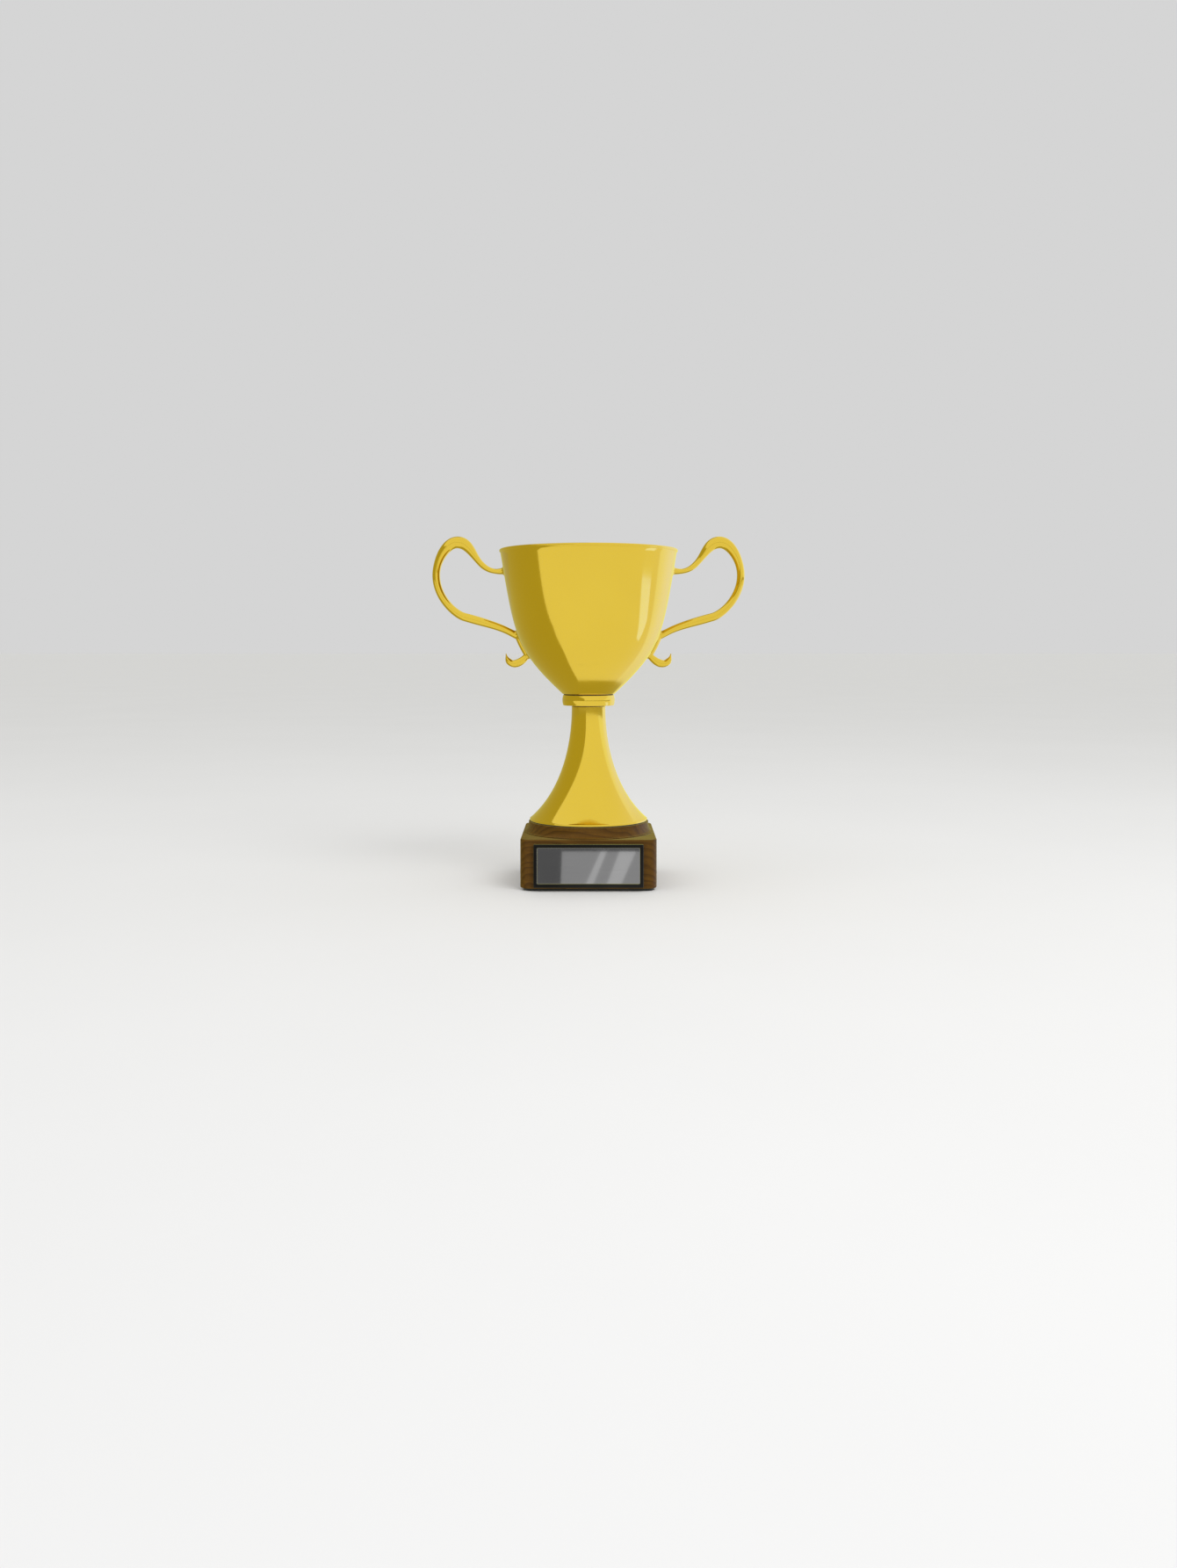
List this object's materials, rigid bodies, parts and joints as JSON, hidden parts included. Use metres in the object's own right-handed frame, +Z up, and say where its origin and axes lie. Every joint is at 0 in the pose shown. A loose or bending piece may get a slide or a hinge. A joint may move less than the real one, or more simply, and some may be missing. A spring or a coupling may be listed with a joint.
{
  "type": "cup trophy",
  "caption": "Two-handled cup trophy: flared metal cup on a collar and trumpet stem, over a wooden plinth with a framed blank nameplate.",
  "frame": {"origin": "centre of the underside, on the surface that the trophy stands on", "axes": "+Z up, the nameplate faces -Y, the handles stand out along +X and -X"},
  "size_m": [0.2726, 0.1556, 0.2993],
  "materials": {
    "gold_metal": "polished gold plate with faint spin lines",
    "steel": "zinc-plated hardware",
    "wood": "dark brown stained and lacquered hardwood",
    "plate_metal": "polished silver-grey plate",
    "frame_black": "semi-gloss black lacquer",
    "felt": "pressed felt",
    "fibre": "matt vulcanised fibre",
    "tape": "foam adhesive tape"
  },
  "bodies": {
    "root": {"base_felt": "felt", "plinth_block": "wood", "plinth_shoulder": "wood", "plaque_tape": "tape", "plaque_plate": "plate_metal", "plaque_frame": "frame_black", "stem_gasket": "fibre", "stem_shell": "gold_metal", "collar_washer_lower": "fibre", "neck_collar": "gold_metal", "collar_washer_upper": "fibre", "cup_bowl": "gold_metal", "handle_left": "gold_metal", "handle_right": "gold_metal", "handle_screw_left_upper": "steel", "handle_screw_left_lower": "steel", "handle_screw_right_upper": "steel", "handle_screw_right_lower": "steel", "handle_washer_left_upper": "steel", "handle_washer_left_lower": "steel", "handle_washer_right_upper": "steel", "handle_washer_right_lower": "steel", "tie_rod": "steel", "base_washer": "steel", "base_nut": "steel", "bowl_washer": "steel", "bowl_nut": "steel"}
  },
  "joints": []
}
